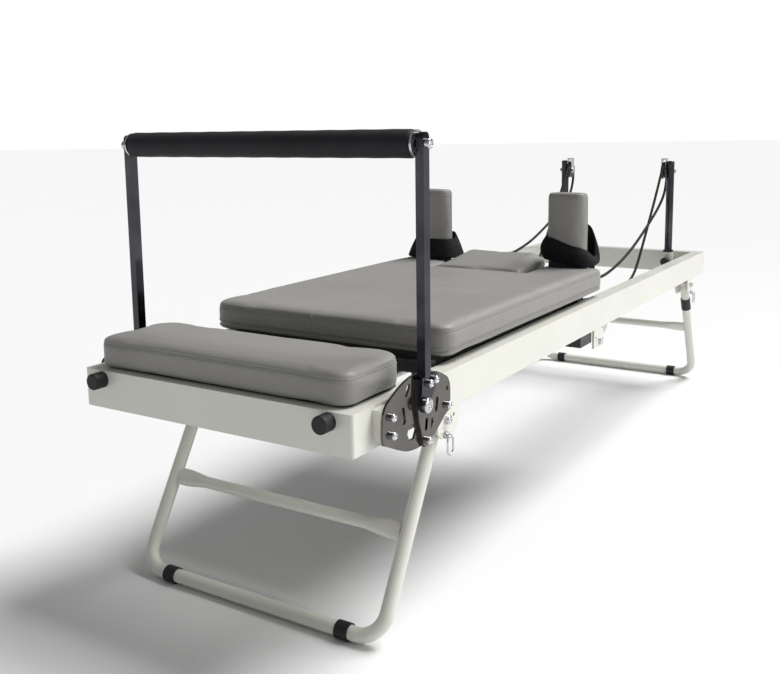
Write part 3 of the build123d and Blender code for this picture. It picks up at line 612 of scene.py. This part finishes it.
def platform_cushion():
    made = cushion("platform_cushion", "platform_pad", "foot_frame", PAD_SWELL)
    low, high, _, top = flat_corners("platform_pad")
    press_seam(made, top - PAD_SEAM, PLATFORM_PRESS, PRESS_WIDTH)
    tree = surface_of(made)
    outline = rounded_outline(low, high, PLATFORM_CORNER, STITCH_STEP)
    edge = cast_outline(tree, outline, top - PAD_SEAM)
    add_seam("platform_top_seam", edge, SEAM_RADIUS, "foot_frame")
    for number, (depth, lift) in enumerate(PLATFORM_STITCHES):
        row = cast_outline(tree, outline, top - depth, math.radians(lift))
        add_stitches(f"platform_stitches_{number}", row, "foot_frame")


CARRIAGE_SWELL = 0.0045
CARRIAGE_CORNER = 0.036
CARRIAGE_SKIRT = 0.009
CARRIAGE_PRESS = 0.0014
CARRIAGE_SEAM_RADIUS = 0.001
# The hem is drawn in between two welts. Heights are above the underside.
HEM_HEIGHT = 0.013
HEM_PRESS = 0.0018
HEM_PRESS_WIDTH = 0.006
WELT_HEIGHTS = (0.0075, 0.0185)
WELT_RADIUS = 0.0013
THREAD_ABOVE_WELT = 0.0032
# The upright seam on the front face, with a row of stitches on either side.
FRONT_SEAM_Y = 0.026
FRONT_SEAM_RADIUS = 0.0014
FRONT_SEAM_SHIFTS = (-0.005, 0.0, 0.005)
FRONT_SEAM_POINTS = 10
# How far below the top it ends.
FRONT_SEAM_HEAD = 0.006
# How far outside a cushion's solid the lines for an upright seam start.
CAST_FROM = 0.05


def deepen(made, top, bottom, skirt):
    """Stretches a cushion down below its solid, so that its skirt hides the board's edge."""
    for vertex in made.data.vertices:
        vertex.co.z = top - (top - vertex.co.z) * (1 + skirt / (top - bottom))
    made.data.update()


def carriage_cushion():
    made = cushion("carriage_cushion", "carriage_pad", "carriage", CARRIAGE_SWELL)
    low, high, bottom, top = flat_corners("carriage_pad")
    deepen(made, top, bottom, CARRIAGE_SKIRT)
    bottom -= CARRIAGE_SKIRT
    press_seam(made, top - PAD_SEAM, CARRIAGE_PRESS, PRESS_WIDTH)
    press_seam(made, bottom + HEM_HEIGHT, HEM_PRESS, HEM_PRESS_WIDTH)
    tree = surface_of(made)
    outline = rounded_outline(low, high, CARRIAGE_CORNER, STITCH_STEP)
    edge = cast_outline(tree, outline, top - PAD_SEAM)
    add_seam("carriage_top_seam", edge, CARRIAGE_SEAM_RADIUS, "carriage")
    for number, height in enumerate(WELT_HEIGHTS):
        welt = cast_outline(tree, outline, bottom + height)
        add_seam(f"carriage_welt_{number}", welt, WELT_RADIUS, "carriage")
        thread = cast_outline(tree, outline, bottom + height + THREAD_ABOVE_WELT)
        add_stitches(f"carriage_stitches_{number}", thread, "carriage")
    foot, head = bottom + SEAM_FOOT, top - FRONT_SEAM_HEAD
    ahead = Vector((1, 0, 0))
    for number, shift in enumerate(FRONT_SEAM_SHIFTS):
        start = (low.x - CAST_FROM, FRONT_SEAM_Y + shift)
        column = cast_column(tree, start, ahead, foot, head, FRONT_SEAM_POINTS)
        if shift:
            add_stitches(f"carriage_front_stitches_{number}", column, "carriage", closed=False)
        else:
            add_seam("carriage_front_seam", column, FRONT_SEAM_RADIUS, "carriage", closed=False)


# The headrest in its own plane: its origin is the pivot and x runs toward its free edge.
HEADREST_PIVOT = spot(1088.0, 0, 57.0)
HEADREST_ANGLE = math.radians(10.0)
HEADREST_FRONT = -0.008
HEADREST_REAR = 0.174
HEADREST_HALF_WIDTH = 0.134
HEADREST_HALF_THICKNESS = 0.020
HEADREST_CORNER = 0.012
HEADREST_SEAM = -0.011
HEADREST_THREAD = -0.0145
# How far in from a side the top starts to fall, and the side's fall for each metre from the pivot.
HEADREST_EASE = 0.045
HEADREST_FALL = 0.09


def ease_headrest(made, place):
    """Lets the headrest's top fall away at either side, more so toward its free edge."""
    back = place.inverted()
    for vertex in made.data.vertices:
        local = back @ vertex.co
        inside = min(max((HEADREST_HALF_WIDTH - abs(local.y)) / HEADREST_EASE, 0.0), 1.0)
        fall = (1 - inside * inside * (3 - 2 * inside)) * HEADREST_FALL * max(local.x, 0.0)
        local.z -= fall * (local.z / HEADREST_HALF_THICKNESS + 1) / 2
        vertex.co = place @ local
    made.data.update()


def headrest_cushion():
    made = cushion("headrest_cushion", "headrest_pad", "headrest", PAD_SWELL)
    place = Matrix.Translation(HEADREST_PIVOT) @ Matrix.Rotation(-HEADREST_ANGLE, 4, "Y")
    ease_headrest(made, place)
    tree = surface_of(made)
    low = Vector((HEADREST_FRONT, -HEADREST_HALF_WIDTH))
    high = Vector((HEADREST_REAR, HEADREST_HALF_WIDTH))
    outline = rounded_outline(low, high, HEADREST_CORNER, STITCH_STEP)
    edge = cast_outline(tree, outline, HEADREST_SEAM, 0.0, place)
    add_seam("headrest_seam", edge, SEAM_RADIUS, "headrest")
    row = cast_outline(tree, outline, HEADREST_THREAD, 0.0, place)
    add_stitches("headrest_stitches", row, "headrest")


REST_SWELL = 0.003
REST_CORNER = 0.022
REST_SEAM = 0.008
REST_PRESS = 0.001
REST_THREAD = 0.0125
REST_HEM = 0.006
REST_SEAM_POINTS = 34
REST_SEAM_HEAD = 0.010


def shoulder_cushion(label):
    source = f"{label}_shoulder_rest"
    body = f"{label}_rest"
    made = cushion(f"{label}_shoulder_cushion", source, body, REST_SWELL)
    low, high, bottom, top = flat_corners(source)
    press_seam(made, top - REST_SEAM, REST_PRESS, PRESS_WIDTH)
    tree = surface_of(made)
    outline = rounded_outline(low, high, REST_CORNER, STITCH_STEP)
    edge = cast_outline(tree, outline, top - REST_SEAM)
    add_seam(f"{label}_rest_top_seam", edge, SEAM_RADIUS, body)
    hem = cast_outline(tree, outline, bottom + REST_HEM)
    add_seam(f"{label}_rest_hem", hem, SEAM_RADIUS, body)
    row = cast_outline(tree, outline, top - REST_THREAD)
    add_stitches(f"{label}_rest_stitches", row, body)
    middle = (low.x + high.x) / 2
    foot, head = bottom + SEAM_FOOT, top - REST_SEAM_HEAD
    for mark, y, way in (("low", low.y - CAST_FROM, 1), ("high", high.y + CAST_FROM, -1)):
        inward = Vector((0, way, 0))
        column = cast_column(tree, (middle, y), inward, foot, head, REST_SEAM_POINTS)
        add_seam(f"{label}_rest_{mark}_seam", column, SEAM_RADIUS, body, closed=False)


# ---- footbar grip --------------------------------------------------------------------------

GRIP_BORE = 0.0162
GRIP_CORNER = 0.0085
GRIP_CORNER_STEPS = 6
GRIP_STEPS = 90
GRIP_SIDES = 56
# The skin's waves: their depth, radians for each metre along the bar, and waves round it. The
# end faces stay even up to a small way outside the bore.
GRIP_WAVE = 0.00022
GRIP_WAVES_ALONG = 90
GRIP_WAVES_ROUND = 3
GRIP_EVEN = 0.001


def footbar_grip():
    """The foam sleeve: a turned tube with soft ends and a slightly uneven skin."""
    low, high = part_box("footbar_foam")
    centre = (low + high) / 2
    radius = (high.z - low.z) / 2
    half = (high.y - low.y) / 2
    profile = [(half, GRIP_BORE), (half, radius - GRIP_CORNER)]
    for k in range(1, GRIP_CORNER_STEPS + 1):
        angle = math.radians(90 * k / GRIP_CORNER_STEPS)
        profile.append((
            half - GRIP_CORNER * (1 - math.cos(angle)),
            radius - GRIP_CORNER + GRIP_CORNER * math.sin(angle),
        ))
    straight = 2 * half - 2 * GRIP_CORNER
    stations = profile + [
        (half - GRIP_CORNER - straight * k / GRIP_STEPS, radius) for k in range(1, GRIP_STEPS)
    ]
    stations += [(-y, r) for y, r in reversed(profile)]
    shape = bmesh.new()
    rings = []
    for y, r in stations:
        ring = []
        for k in range(GRIP_SIDES):
            turn = 2 * math.pi * k / GRIP_SIDES
            skin = r
            if r > GRIP_BORE + GRIP_EVEN:
                wave = math.sin(y * GRIP_WAVES_ALONG + GRIP_WAVES_ROUND * turn)
                skin = r - GRIP_WAVE * (1 + wave)
            out = Vector((skin * math.sin(turn), y, skin * math.cos(turn)))
            ring.append(shape.verts.new(centre + out))
        rings.append(ring)
    for one, two in zip(rings, rings[1:] + rings[:1]):
        join_rings(shape, one, two)
    made = from_bmesh("footbar_grip", shape, MATERIALS["foam"])
    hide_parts("footbar_foam")
    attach(made, "footbar")


# ---- springs -------------------------------------------------------------------------------

SPRING_Y = (-160.0, -80.0, 0.0, 80.0, 160.0)
SPRING_Z = -40.0
SPRING_X = (215.0, 639.0)
COIL_X = (240.0, 616.0)
COIL_RADIUS = 8.6
WIRE_RADIUS = 0.0013
COIL_PITCH = 4.4
COIL_SIDES = 12
HOOK = 8


def spring_line(y):
    """Hook, close-wound coil, hook."""
    points = [spot(SPRING_X[0], y, SPRING_Z), spot(COIL_X[0] - HOOK, y, SPRING_Z)]
    turns = (COIL_X[1] - COIL_X[0]) / COIL_PITCH
    for k in range(int(turns * COIL_SIDES) + 1):
        turn = 2 * math.pi * k / COIL_SIDES
        points.append(spot(
            COIL_X[0] + COIL_PITCH * k / COIL_SIDES,
            y + COIL_RADIUS * math.cos(turn),
            SPRING_Z + COIL_RADIUS * math.sin(turn),
        ))
    points += [spot(COIL_X[1] + HOOK, y, SPRING_Z), spot(SPRING_X[1], y, SPRING_Z)]
    return points


def coil_springs():
    shape = bmesh.new()
    for y in SPRING_Y:
        tube_points(shape, spring_line(y), WIRE_RADIUS, sides=6)
    made = from_bmesh("coil_springs", shape, MATERIALS["bright_steel"])
    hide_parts("springs")
    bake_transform(made)


# ---- ropes ---------------------------------------------------------------------------------

ROPE_DIAMETER = 0.009
POST_X = 2241.0
PULLEY_Y = 181
PULLEY_Z = 296.0
# How far from the pulley's axle the rope's middle line runs.
ROPE_ON_PULLEY = 28.9
# The rope's route: under the carriage, along it, up over the pulley and back to the strap.
ROPE_POINTS = [
    (1170.6, PULLEY_Y, -6),
    (1236, PULLEY_Y, -24),
    (1330, PULLEY_Y, -40),
    (1440, PULLEY_Y, -54),
    (1560, PULLEY_Y, -62),
    (1680, PULLEY_Y, -66),
    (1790, PULLEY_Y, -64),
    (1872, PULLEY_Y, -56),
    (1930, PULLEY_Y, -26),
    (1996, PULLEY_Y, 46),
    (2068, PULLEY_Y, 128),
    (2130, PULLEY_Y, 200),
    (2180, PULLEY_Y, 262.6),
    (POST_X - 14.5, PULLEY_Y, PULLEY_Z + ROPE_ON_PULLEY),
    (POST_X + 22, PULLEY_Y, PULLEY_Z + ROPE_ON_PULLEY),
    (POST_X + ROPE_ON_PULLEY + 1.6, PULLEY_Y, PULLEY_Z - 2),
    (POST_X + ROPE_ON_PULLEY - 2, PULLEY_Y, PULLEY_Z - 46),
    (2240, PULLEY_Y, 203),
    (2160, PULLEY_Y, 158),
    (2064, 182, 120),
    (1960, 184, 83),
    (1860, 187, 53),
    (1756, 193, 33),
    (1650, 201, 20),
    (1545, 211, 14),
    (1445, 226, 18),
    (1360, 243, 30),
    (1294.4, 255, 56),
]


def smooth_path(name, points):
    """Points along a smooth curve that the given points draw."""
    data = bpy.data.curves.new(name, "CURVE")
    data.dimensions = "3D"
    data.resolution_u = 10
    line = data.splines.new("NURBS")
    line.points.add(len(points) - 1)
    for knot, point in zip(line.points, points):
        knot.co = (*point, 1)
    line.order_u = 3
    line.use_endpoint_u = True
    curve = bpy.data.objects.new(name, data)
    bpy.context.scene.collection.objects.link(curve)
    depsgraph = bpy.context.evaluated_depsgraph_get()
    mesh = bpy.data.meshes.new_from_object(curve.evaluated_get(depsgraph), depsgraph=depsgraph)
    bpy.data.objects.remove(curve)
    return [v.co.copy() for v in mesh.vertices]


def rope(label):
    side = SIDES[label]
    points = [spot(x, side * y, z) for x, y, z in ROPE_POINTS]
    path = smooth_path(f"{label}_path", points)
    shape = bmesh.new()
    tube_points(shape, path, ROPE_DIAMETER / 2, sides=10)
    made = from_bmesh(f"{label}_pull_rope", shape, MATERIALS["rope"])
    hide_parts(f"{label}_rope")
    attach(made, "head_frame")
    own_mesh(made)


# ---- strap loops ---------------------------------------------------------------------------

# The loop round the right rest, which hangs loose. Each station is its x, its y away from the
# middle, its lower edge and its upper edge.
LOOSE_STATIONS = [
    (1187.0, 182.0, 96.0, 158.0),
    (1187.0, 232.0, 86.0, 141.0),
    (1196.0, 259.0, 80.5, 134.0),
    (1224.0, 267.0, 79.5, 122.0),
    (1256.0, 268.0, 79.5, 106.0),
    (1282.0, 264.0, 80.5, 112.0),
    (1295.0, 254.0, 86.0, 172.0),
    (1297.0, 232.0, 93.0, 192.0),
    (1287.0, 198.0, 98.0, 180.0),
    (1268.0, 168.0, 100.0, 168.0),
    (1240.0, 152.0, 101.0, 162.0),
    (1210.0, 151.0, 101.0, 162.0),
    (1193.0, 158.0, 99.0, 161.0),
]
# The loop round the left rest follows the same line with level edges, raised a little behind.
NEAT_TOP = 139.0
NEAT_BOTTOM = 84.0
NEAT_LOBE = 14.0
NEAT_LOBE_X = 1260
# How far each band stands out at its foot and halfway up.
FLARES = {"left": (25.0, 2.0), "right": (5.0, 12.0)}
LOOP_CENTRE = (1240.0, 210.0)
LOOP_THICKNESS = 0.0026
STRAP_ROWS = 7
STATION_STEPS = 5


def rounded_through(stations):
    """A closed Catmull-Rom curve through the stations, in all of their values."""
    line = []
    count = len(stations)
    for i in range(count):
        before, here, there, after = (Vector(stations[(i + k) % count]) for k in (-1, 0, 1, 2))
        for k in range(STATION_STEPS):
            t = k / STATION_STEPS
            line.append(0.5 * (
                2 * here
                + (there - before) * t
                + (2 * before - 5 * here + 4 * there - after) * t ** 2
                + (3 * here - before - 3 * there + after) * t ** 3
            ))
    return line


def band_mesh(name, grid, closed, thickness):
    """A sheet through a grid of points, given the thickness of webbing and smoothed."""
    shape = bmesh.new()
    verts = [[shape.verts.new(point) for point in column] for column in grid]
    pairs = list(zip(verts, verts[1:]))
    if closed:
        pairs.append((verts[-1], verts[0]))
    for one, two in pairs:
        for r in range(len(one) - 1):
            shape.faces.new((one[r], two[r], two[r + 1], one[r + 1]))
    made = from_bmesh(name, shape, MATERIALS["webbing"])
    thick = made.modifiers.new("thick", "SOLIDIFY")
    thick.thickness = thickness
    thick.offset = 0.0
    finer = made.modifiers.new("finer", "SUBSURF")
    finer.levels = 2
    finer.render_levels = 2
    apply_modifiers(made)
    smooth_faces(made.data)
    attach(made, "carriage")
    return made


def strap_loop(label):
    """A wide webbing band round a rest, flared at its foot and standing in a lobe behind."""
    side = SIDES[label]
    foot_flare, middle_flare = FLARES[label]
    stations = LOOSE_STATIONS
    if label == "left":
        stations = [
            (x, y, NEAT_BOTTOM, NEAT_TOP + (NEAT_LOBE if x > NEAT_LOBE_X else 0.0))
            for x, y, _, _ in LOOSE_STATIONS
        ]
    line = rounded_through(stations)
    grid = []
    for i, here in enumerate(line):
        run = line[(i + 1) % len(line)] - line[i - 1]
        out = Vector((run.y, -run.x)).normalized()
        if out.dot(Vector((here.x - LOOP_CENTRE[0], here.y - LOOP_CENTRE[1]))) < 0:
            out = -out
        column = []
        for r in range(STRAP_ROWS):
            share = r / (STRAP_ROWS - 1)
            flare = foot_flare * (1 - share) + middle_flare * math.sin(math.pi * share)
            z = here[2] + (here[3] - here[2]) * share
            column.append(spot(here.x + flare * out.x, side * (here.y + flare * out.y), z))
        grid.append(column)
    return band_mesh(f"{label}_strap", grid, True, LOOP_THICKNESS)


# The tail's middle line from the loop down to the rope, and its width at each point.
TAIL_LINE = [
    (1288, 240, 112),
    (1292, 244, 98),
    (1294, 248, 84),
    (1294.4, 252, 70),
    (1294.4, 254.5, 58),
]
TAIL_WIDTHS = (34.0, 30.0, 25.0, 19.0, 13.0)
TAIL_THICKNESS = 0.0036
TAIL_STEPS = 4


def strap_tail(label):
    """A folded tail from the loop's rear down to the rope."""
    side = SIDES[label]
    grid = []
    for (x, y, z), width in zip(TAIL_LINE, TAIL_WIDTHS):
        shares = [k / TAIL_STEPS - 0.5 for k in range(TAIL_STEPS + 1)]
        grid.append([spot(x, side * (y + width * share), z) for share in shares])
    return band_mesh(f"{label}_strap_tail", grid, False, TAIL_THICKNESS)


# ---- small hardware ------------------------------------------------------------------------

# Bolt heads by body: x, z, how far out the head starts, and its radius.
BOLT_HEADS = {
    "foot_frame": [
        (80, -21, 350.0, 7.6), (81, -53, 350.0, 7.6), (276, -50, 350.0, 7.6),
        (319, -94, 326.0, 9.4), (1180, -111, 324.0, 10.4),
    ],
    "head_frame": [(2115, -94, 326.0, 9.4)],
    "footbar": [
        (188, 14, 361.0, 7.4), (207, 17, 361.0, 7.4), (190, -92, 356.5, 7.4),
        (177, -23, 362.0, 14.2), (177, 434, 368.0, 9.6),
    ],
}
HEAD_SIDES = 28
# The head's section: how far out and what share of its radius, ending in the socket's floor.
HEAD_SECTION = (
    (-0.8, 1.0), (0.0, 1.0), (1.4, 0.93), (2.8, 0.74), (3.5, 0.48), (3.4, 0.42), (1.2, 0.40),
)


def bolt_heads(body, label):
    """Domed heads with a socket in the middle, over the plain heads of the CAD."""
    side = SIDES[label]
    shape = bmesh.new()
    for x, z, y, radius in BOLT_HEADS[body]:
        rings = []
        for out, share in HEAD_SECTION:
            ring = []
            for k in range(HEAD_SIDES):
                turn = 2 * math.pi * k / HEAD_SIDES
                r = radius * share
                rim = spot(x + r * math.cos(turn), side * (y + out), z + r * math.sin(turn))
                ring.append(shape.verts.new(rim))
            rings.append(ring)
        for one, two in zip(rings, rings[1:]):
            join_rings(shape, one, two)
        shape.faces.new(rings[0])
        shape.faces.new(rings[-1])
    made = from_bmesh(f"{label}_{body}_bolt_heads", shape, MATERIALS["bright_steel"])
    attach(made, body)


# ---- stage ---------------------------------------------------------------------------------

ROOM_LIGHT = 0.22
FLOOR_SIZE = 60.0
FLOOR_DROP = 0.0005
KEY_SPOT = (2.2, -1.5, 3.9)
KEY_STRENGTH = 3.7
KEY_SOFTNESS = math.radians(32)
SIDE_SPOT = (0.4, -4.4, 1.7)
SIDE_AIM = (0.0, 0.0, 0.45)
SIDE_POWER = 60
SIDE_SIZE = (4.0, 1.6)


def add_floor():
    shape = bmesh.new()
    bmesh.ops.create_grid(shape, x_segments=2, y_segments=2, size=FLOOR_SIZE)
    mesh = bpy.data.meshes.new("floor")
    shape.to_mesh(mesh)
    shape.free()
    surface = new_material("floor", (0.78, 0.78, 0.78), 0.9, specular=0.0)
    floor = add_object("floor", mesh, surface)
    floor.location.z = -FLOOR_DROP


def add_light(name, kind, place, aim, power):
    data = bpy.data.lights.new(name, kind)
    data.energy = power
    light = bpy.data.objects.new(name, data)
    direction = Vector(aim) - Vector(place)
    light.rotation_euler = direction.to_track_quat("-Z", "Y").to_euler()
    light.location = place
    bpy.context.scene.collection.objects.link(light)
    return data


def add_lights():
    key = add_light("key", "SUN", KEY_SPOT, (0, 0, 0), KEY_STRENGTH)
    key.angle = KEY_SOFTNESS
    side = add_light("side", "AREA", SIDE_SPOT, SIDE_AIM, SIDE_POWER)
    side.shape = "RECTANGLE"
    side.size, side.size_y = SIDE_SIZE


def add_room():
    """Dim light from all round, in front of a white backdrop."""
    world = bpy.data.worlds.new("studio")
    world.use_nodes = True
    tree = world.node_tree
    backdrop = tree.nodes["Background"]
    backdrop.inputs["Color"].default_value = (1.0, 1.0, 1.0, 1)
    ray = tree.nodes.new("ShaderNodeLightPath")
    strength = tree.nodes.new("ShaderNodeMapRange")
    strength.inputs["To Min"].default_value = ROOM_LIGHT
    strength.inputs["To Max"].default_value = 1.0
    tree.links.new(ray.outputs["Is Camera Ray"], strength.inputs["Value"])
    tree.links.new(strength.outputs["Result"], backdrop.inputs["Strength"])
    bpy.context.scene.world = world
    bpy.context.scene.view_settings.view_transform = "Standard"


# ---- the object ----------------------------------------------------------------------------

add_camera()
add_floor()
add_lights()
add_room()
dress_cad_nodes()
for label in SIDES:
    rope(label)
coil_springs()
footbar_grip()
straps = [strap_loop(label) for label in SIDES] + [strap_tail(label) for label in SIDES]
# The CAD has the straps as one node, which is hidden once any piece replaces it.
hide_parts("strap_loops")
platform_cushion()
carriage_cushion()
headrest_cushion()
for label in SIDES:
    shoulder_cushion(label)
    for body in BOLT_HEADS:
        bolt_heads(body, label)
